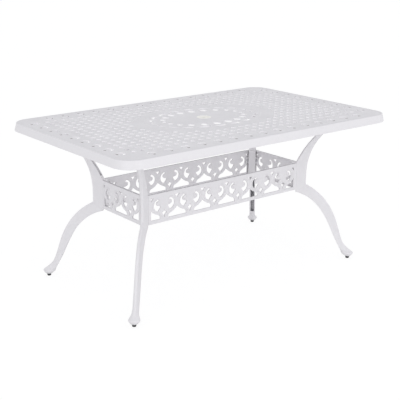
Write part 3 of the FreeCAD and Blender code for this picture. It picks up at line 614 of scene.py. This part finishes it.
for side_x, side_y in ((-1, -1), (1, -1), (-1, 1), (1, 1)):
    turn = math.atan2(side_y, side_x)
    middle = Vector((side_x * (HALF_TOP.x - LEG_INSET.x), side_y * (HALF_TOP.y - LEG_INSET.y)))
    middle += ARM_REACH * Vector((math.cos(turn), math.sin(turn)))
    pad_edge = placed(rounded_rectangle(HALF_PAD, PAD_CORNER, 4), middle, turn)
    ribs.append(flat_plate("fixing_pad", pad_edge, [], plate_foot - PAD_THICKNESS, plate_foot + OVERLAP,
                           RIB_EDGE))
underside = join(ribs)
underside.name = "top_ribs"
finish(underside, cast_white, "cast_white", "frame")


# Legs: one aluminium sand casting each, an open channel with a narrow nose outwards, bolted to its pad
# by a lug at the head, with two ears that carry the panels. The mould leaves every edge soft, so each
# is its solid's shape in an even fine grain, smoothed, with the spreading toe in place of its foot.

CORNERS = ("front_left", "front_right", "back_left", "back_right")
CAST_GRAIN, SOFTENING_SHARE, SOFTENING_ROUNDS = 0.0016, 0.5, 14
ANKLE_CUT = 0.052
TOE_SIDES = 48

# The toe in millimetres: the bore for the stud, and the outline section by section, each with its
# height, heel, tip, half width, how much narrower it is at the tip, and how square its corners are.
BORE_RADIUS, BORE_TOP = 5.2, 34
TOE = ((11, -13, 13, 13.5, 0, 0), (13.5, -16, 15.5, 16, 0, 0), (18, -21.5, 19.8, 20.3, 0, 0),
       (22.5, -27, 24, 24, 0, 0), (26.5, -30.8, 26.2, 25.4, 0, 0), (30, -32.2, 25.4, 24.8, 0.05, 0),
       (34, -33.3, 21, 22.6, 0.1, 0.1), (38, -34.7, 15, 20.2, 0.2, 0.4),
       (43, -36.9, 8, 18.2, 0.35, 0.8), (48, -39.4, 1.8, 16.9, 0.5, 1.3),
       (54, -42.6, -4.8, 16.0, 0.6, 1.6), (60, -45.9, -11, 15.4, 0.66, 1.6),
       (68, -50, -18.2, 14.8, 0.68, 1.6), (78, -55, -25.6, 14.5, 0.68, 1.6))

# Painted shade greys the hollow of a channel, reaching further into it than on the other castings.
HOLLOW_SHADE_REACH = 0.030
hollow_shade_white = powder_coat("powder_coat_painted_shade_in_hollows", "E6E4E6", "EBE9EB", "8F8E93", HOLLOW_SHADE_REACH)


def solid_copy(node, name):
    """The shape of a solid as one clean closed mesh without its shading normals."""
    piece = add_object(name, nodes[node].data.copy())
    piece.data.materials.clear()
    piece = to_mesh(piece)
    bpy.ops.mesh.customdata_custom_splitnormals_clear()
    return piece


def toe(name, foot, outward):
    """The spreading toe that the shin runs out into, with the blind bore for the glide's stud."""
    across = Vector((-outward.y, outward.x, 0))
    bore = [(height, -BORE_RADIUS, BORE_RADIUS, BORE_RADIUS, 0, 0) for height in (BORE_TOP, TOE[0][0])]
    shape = bmesh.new()
    loops = []
    for height, heel, tip, half_width, taper, squareness in bore + list(TOE):
        loop = []
        for step in range(TOE_SIDES):
            along, side = math.cos(math.tau * step / TOE_SIDES), math.sin(math.tau * step / TOE_SIDES)
            along = math.copysign(abs(along) ** (1 - 0.5 * squareness), along)
            side = math.copysign(abs(side) ** (1 - 0.5 * squareness), side)
            reach = (heel + tip) / 2 + (tip - heel) / 2 * along
            width = half_width * side * (1 - taper * (1 + along) / 2)
            spot = outward * reach + across * width + Vector((0, 0, height))
            loop.append(shape.verts.new(foot + spot / 1000))
        loops.append(loop)
    for low, high in zip(loops, loops[1:]):
        for step in range(TOE_SIDES):
            shape.faces.new((low[step - 1], low[step], high[step], high[step - 1]))
    shape.faces.new(loops[0])
    shape.faces.new(loops[-1])
    piece = add_object(name, bpy.data.meshes.new(name))
    shape.to_mesh(piece.data)
    shape.free()
    return to_mesh(piece)


for corner in CORNERS:
    leg = solid_copy(f"leg_{corner}", f"cast_leg_{corner}")
    bpy.ops.object.mode_set(mode="EDIT")
    bpy.ops.mesh.select_all(action="SELECT")
    bpy.ops.mesh.bisect(plane_co=(0, 0, ANKLE_CUT), plane_no=(0, 0, 1), use_fill=True, clear_inner=True)
    bpy.ops.object.mode_set(mode="OBJECT")
    low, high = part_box(f"glide_pad_{corner}")
    middle = (low + high) / 2
    foot = Vector((middle.x, middle.y, 0))
    outward = Vector((math.copysign(1, foot.x), math.copysign(1, foot.y), 0)).normalized()
    leg = join([leg, toe("toe", foot, outward)])
    leg.data.remesh_voxel_size = CAST_GRAIN
    bpy.ops.object.voxel_remesh()
    soften = leg.modifiers.new("soften", "SMOOTH")
    soften.factor, soften.iterations = SOFTENING_SHARE, SOFTENING_ROUNDS
    bpy.ops.object.modifier_apply(modifier=soften.name)
    finish(leg, hollow_shade_white, "cast_white", "frame", f"leg_{corner}", free_form=True)


# Apron panels: four flat fretwork castings in aluminium, bolted to the posts' ears behind their ends,
# with a stiffening flange inside along the foot and the head. Each unit is a pair of scrolls over a
# star, with raised beads that curl into the scrolls' eyes; an arch and a drop are where units meet.

PANEL_THICKNESS, PANEL_EDGE, MITRE_REACH = 0.006, 0.0009, 0.002
FLANGE_DEPTH, FLANGE_THICKNESS, FLANGE_EDGE, FLANGE_SEAT = 0.012, 0.004, 0.0006, 0.001
LONG_UNITS, LONG_MARGIN, SHORT_UNITS, SHORT_MARGIN = 6, 0.015, 2, 0.009
VOLUTE_RADIUS, VOLUTE_PROUD = 0.0026, 0.0017

# One unit's openings and the path of its bead, in millimetres across and up from the foot of a unit
# of this width and height. The crescent and the bead are the right half's.
UNIT_WIDTH, UNIT_HEIGHT = 139.8, 131.5
STAR = [(0, 20), (4, 33), (13, 42), (4, 47), (0, 57), (-4, 47), (-13, 42), (-4, 33)]
CRESCENT = [(17, 71), (31.5, 51.5, 55, 79), (40, 102, 33, 104), (26.5, 99.5), (28.5, 95, 41, 87),
            (33, 75.8)]
ARCH = [(-49.5, 16), (49.5, 16), (48, 27), (40, 34.5, 19, 43.5), (0, 61, -19, 43.5), (-40, 34.5),
        (-48, 27)]
HALF_ARCH = [(0, 16), (0, 61, -19, 43.5), (-40, 34.5), (-48, 27), (-49.5, 16)]
DROP = [(0, 98), (12.5, 113), (-12.5, 113)]
HALF_DROP = [(0, 98), (0, 113), (-12.5, 113)]
VOLUTE = [(10, 16), (15, 27), (20, 36.5), (29, 43.5), (41, 47.5), (53, 55), (61, 67), (63, 82),
          (58.5, 97), (48.5, 107), (36, 109.5), (25, 106), (20, 97), (21, 86), (27, 78.5), (35, 80),
          (37.5, 86), (34, 91), (30, 87.5)]

panel_low, panel_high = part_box("front_panel")
PANEL_HEIGHT = panel_high.z - panel_low.z


def rectangle(half_length, low, high):
    return [Vector(spot) for spot in ((-half_length, low), (half_length, low), (half_length, high),
                                      (-half_length, high))]


def fretwork_panel(name, half_length, units, margin):
    """A panel lying with its outer face up, its foot on the X axis and its ends mitred."""
    pitch = 2 * (half_length - margin) / units
    wide, tall = pitch * 1000 / UNIT_WIDTH, PANEL_HEIGHT * 1000 / UNIT_HEIGHT

    def in_place(shape, middle, side=1):
        """A shape of one unit at this panel's size, turned over where the side is -1."""
        return [Vector((middle + side * spot.x * wide, spot.y * tall)) for spot in outline(shape)]

    openings, volutes = [], []
    for unit in range(units):
        middle = (unit + 0.5 - units / 2) * pitch
        openings.append(in_place(STAR, middle))
        for side in (-1, 1):
            openings.append(in_place(CRESCENT, middle, side))
            volutes.append(in_place(VOLUTE, middle, side))
    for meeting in range(1, units):
        middle = (meeting - units / 2) * pitch
        openings += [in_place(shape, middle) for shape in (ARCH, DROP)]
    for side in (-1, 1):
        end = -side * units / 2 * pitch
        openings += [in_place(shape, end, -side) for shape in (HALF_ARCH, HALF_DROP)]
    parts = [flat_plate(name, rectangle(half_length, 0, PANEL_HEIGHT), openings, -PANEL_THICKNESS, 0,
                        PANEL_EDGE)]
    for low in (0, PANEL_HEIGHT - FLANGE_THICKNESS):
        parts.append(flat_plate("flange", rectangle(half_length, low, low + FLANGE_THICKNESS), [],
                                -FLANGE_DEPTH, -FLANGE_SEAT, FLANGE_EDGE))
    parts.append(beads("volutes", volutes, VOLUTE_RADIUS, VOLUTE_PROUD - VOLUTE_RADIUS))
    panel = join(parts)
    for vertex in panel.data.vertices:
        if abs(vertex.co.x) > half_length - MITRE_REACH:
            vertex.co.x -= math.copysign(vertex.co.z, vertex.co.x)
    return panel


def stand_panel(panel, node, turn):
    """Stands a lying panel upright where its solid is, turned about the upright axis."""
    low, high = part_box(node)
    spin = Matrix.Rotation(turn, 4, "Z")
    offset = max(abs(high.y), abs(low.y)) if turn in (0, math.pi) else max(abs(high.x), abs(low.x))
    upright = Matrix.Rotation(math.pi / 2, 4, "X")
    panel.data.transform(spin @ Matrix.Translation((0, -offset, low.z)) @ upright)
    finish(panel, cast_white, "cast_white", "frame", node)


long_half, short_half = panel_high.x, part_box("left_panel")[1].y
for node, half_length, units, margin, turn in (
        ("front_panel", long_half, LONG_UNITS, LONG_MARGIN, 0),
        ("back_panel", long_half, LONG_UNITS, LONG_MARGIN, math.pi),
        ("left_panel", short_half, SHORT_UNITS, SHORT_MARGIN, -math.pi / 2),
        ("right_panel", short_half, SHORT_UNITS, SHORT_MARGIN, math.pi / 2)):
    stand_panel(fretwork_panel(f"fretwork_{node}", half_length, units, margin), node, turn)


# Parasol liner: a moulded white nylon sleeve with a thin flange, pressed into the hub so that the pole
# doesn't rub the paint. Moulded nylon is satin and a little cloudy where the melt flowed, in marks
# about 11 mm across.

NYLON_IOR = 1.53
FLOW_MARK, FLOW_HEIGHT, FLOW_STRENGTH = 0.0111, 0.0002, 0.15
LINER_SMOOTHEST, LINER_ROUGHEST = 0.32, 0.46
LINER_EDGE = 0.0006

white_nylon, nylon = new_material("moulded_white_nylon")
where = add_node(white_nylon, "ShaderNodeTexCoord").outputs["Object"]
flow = add_node(white_nylon, "ShaderNodeTexNoise", {
    "Vector": where, "Scale": 1 / FLOW_MARK, "Detail": 3.0}).outputs["Fac"]
cloud = add_node(white_nylon, "ShaderNodeMix", {
    "Factor": flow, 6: linear("FAF9F4"), 7: linear("F5F4EE")}, data_type="RGBA")
rubbed = add_node(white_nylon, "ShaderNodeMapRange", {
    "Value": flow, "To Min": LINER_SMOOTHEST, "To Max": LINER_ROUGHEST})
swells = add_node(white_nylon, "ShaderNodeBump", {
    "Height": flow, "Strength": FLOW_STRENGTH, "Distance": FLOW_HEIGHT})
set_sockets(white_nylon, nylon, {
    "IOR": NYLON_IOR, "Base Color": cloud.outputs[2], "Roughness": rubbed.outputs["Result"],
    "Normal": swells.outputs["Normal"]})


FLAT_WITHIN, SHARP_CORNER = math.radians(1), math.radians(40)


def rounded_copy(node, name, width):
    """The shape of a solid with its sharp edges rounded."""
    piece = solid_copy(node, name)
    bpy.ops.object.mode_set(mode="EDIT")
    bpy.ops.mesh.select_all(action="SELECT")
    bpy.ops.mesh.dissolve_limited(angle_limit=FLAT_WITHIN)
    bpy.ops.object.mode_set(mode="OBJECT")
    rounding = piece.modifiers.new("rounding", "BEVEL")
    rounding.width, rounding.segments = width, 2
    rounding.limit_method, rounding.angle_limit = "ANGLE", SHARP_CORNER
    bpy.ops.object.modifier_apply(modifier=rounding.name)
    return piece


liner = rounded_copy("parasol_liner", "nylon_liner", LINER_EDGE)
finish(liner, white_nylon, "white_nylon", "frame", "parasol_liner")


# Bolts and glide studs: zinc plated steel, a cool satin grey with the faint cloudy spangle that the
# plating leaves, 2.5 mm across. Hexagon bolts hold the lugs and the panels; the studs screw up into
# the toes.

SPANGLE, PIT_DEPTH, PIT_STRENGTH = 0.0025, 0.0001, 0.3
ZINC_SMOOTHEST, ZINC_ROUGHEST = 0.28, 0.45
STEEL_EDGE = 0.0004

zinc_steel, zinc = new_material("zinc_plated_steel")
where = add_node(zinc_steel, "ShaderNodeTexCoord").outputs["Object"]
spangle = add_node(zinc_steel, "ShaderNodeTexNoise", {
    "Vector": where, "Scale": 1 / SPANGLE, "Detail": 2.0}).outputs["Fac"]
plating = add_node(zinc_steel, "ShaderNodeMix", {
    "Factor": spangle, 6: linear("B9BBC0"), 7: linear("D2D3D6")}, data_type="RGBA")
gloss = add_node(zinc_steel, "ShaderNodeMapRange", {
    "Value": spangle, "To Min": ZINC_SMOOTHEST, "To Max": ZINC_ROUGHEST})
pits = add_node(zinc_steel, "ShaderNodeBump", {
    "Height": spangle, "Strength": PIT_STRENGTH, "Distance": PIT_DEPTH})
set_sockets(zinc_steel, zinc, {
    "Metallic": 1.0, "Base Color": plating.outputs[2], "Roughness": gloss.outputs["Result"],
    "Normal": pits.outputs["Normal"]})

for node, name in (("top_bolts", "hexagon_top_bolts"), ("panel_bolts", "hexagon_panel_bolts")):
    finish(rounded_copy(node, name, STEEL_EDGE), zinc_steel, "zinc_steel", "frame", node)
for corner in CORNERS:
    stud = rounded_copy(f"glide_stud_{corner}", f"steel_stud_{corner}", STEEL_EDGE)
    finish(stud, zinc_steel, "zinc_steel", f"screw_{corner}", f"glide_stud_{corner}")


# Glide feet: short round buttons moulded in black nylon, each a socket that its stud's head turns in,
# with a domed edge at the floor. Their satin surface has fine scuffs, drawn about 1.4 mm wide so that
# they show.

DOME, SHOULDER = 0.0034, 0.0008
FOOT_SIDES, EDGE_STEPS, SAME_LEVEL = 40, 4, 0.00001
SCUFF, SCUFF_DEPTH, SCUFF_STRENGTH = 0.00143, 0.0001, 0.4
FOOT_SMOOTHEST, FOOT_ROUGHEST = 0.35, 0.6

black_nylon, foot_nylon = new_material("moulded_black_nylon")
where = add_node(black_nylon, "ShaderNodeTexCoord").outputs["Object"]
scuff = add_node(black_nylon, "ShaderNodeTexNoise", {
    "Vector": where, "Scale": 1 / SCUFF, "Detail": 3.0}).outputs["Fac"]
worn = add_node(black_nylon, "ShaderNodeMix", {
    "Factor": scuff, 6: linear("151517"), 7: linear("242428")}, data_type="RGBA")
dull = add_node(black_nylon, "ShaderNodeMapRange", {
    "Value": scuff, "To Min": FOOT_SMOOTHEST, "To Max": FOOT_ROUGHEST})
scratches = add_node(black_nylon, "ShaderNodeBump", {
    "Height": scuff, "Strength": SCUFF_STRENGTH, "Distance": SCUFF_DEPTH})
set_sockets(black_nylon, foot_nylon, {
    "IOR": NYLON_IOR, "Base Color": worn.outputs[2], "Roughness": dull.outputs["Result"],
    "Normal": scratches.outputs["Normal"]})

for corner in CORNERS:
    low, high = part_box(f"glide_pad_{corner}")
    bpy.ops.object.select_all(action="DESELECT")
    bpy.ops.mesh.primitive_cylinder_add(vertices=FOOT_SIDES, radius=(high.x - low.x) / 2,
                                        depth=high.z - low.z, location=(low + high) / 2)
    button = bpy.context.object
    button.name = f"nylon_foot_{corner}"
    button = to_mesh(button)
    for width, level in ((DOME, low.z), (SHOULDER, high.z)):
        bpy.ops.object.mode_set(mode="EDIT")
        bpy.ops.mesh.select_all(action="DESELECT")
        shape = bmesh.from_edit_mesh(button.data)
        for edge in shape.edges:
            edge.select_set(all(abs(vertex.co.z - level) < SAME_LEVEL for vertex in edge.verts))
        bmesh.update_edit_mesh(button.data)
        bpy.ops.mesh.bevel(offset=width, segments=EDGE_STEPS)
        bpy.ops.object.mode_set(mode="OBJECT")
    finish(button, black_nylon, "black_nylon", f"foot_{corner}", f"glide_pad_{corner}")
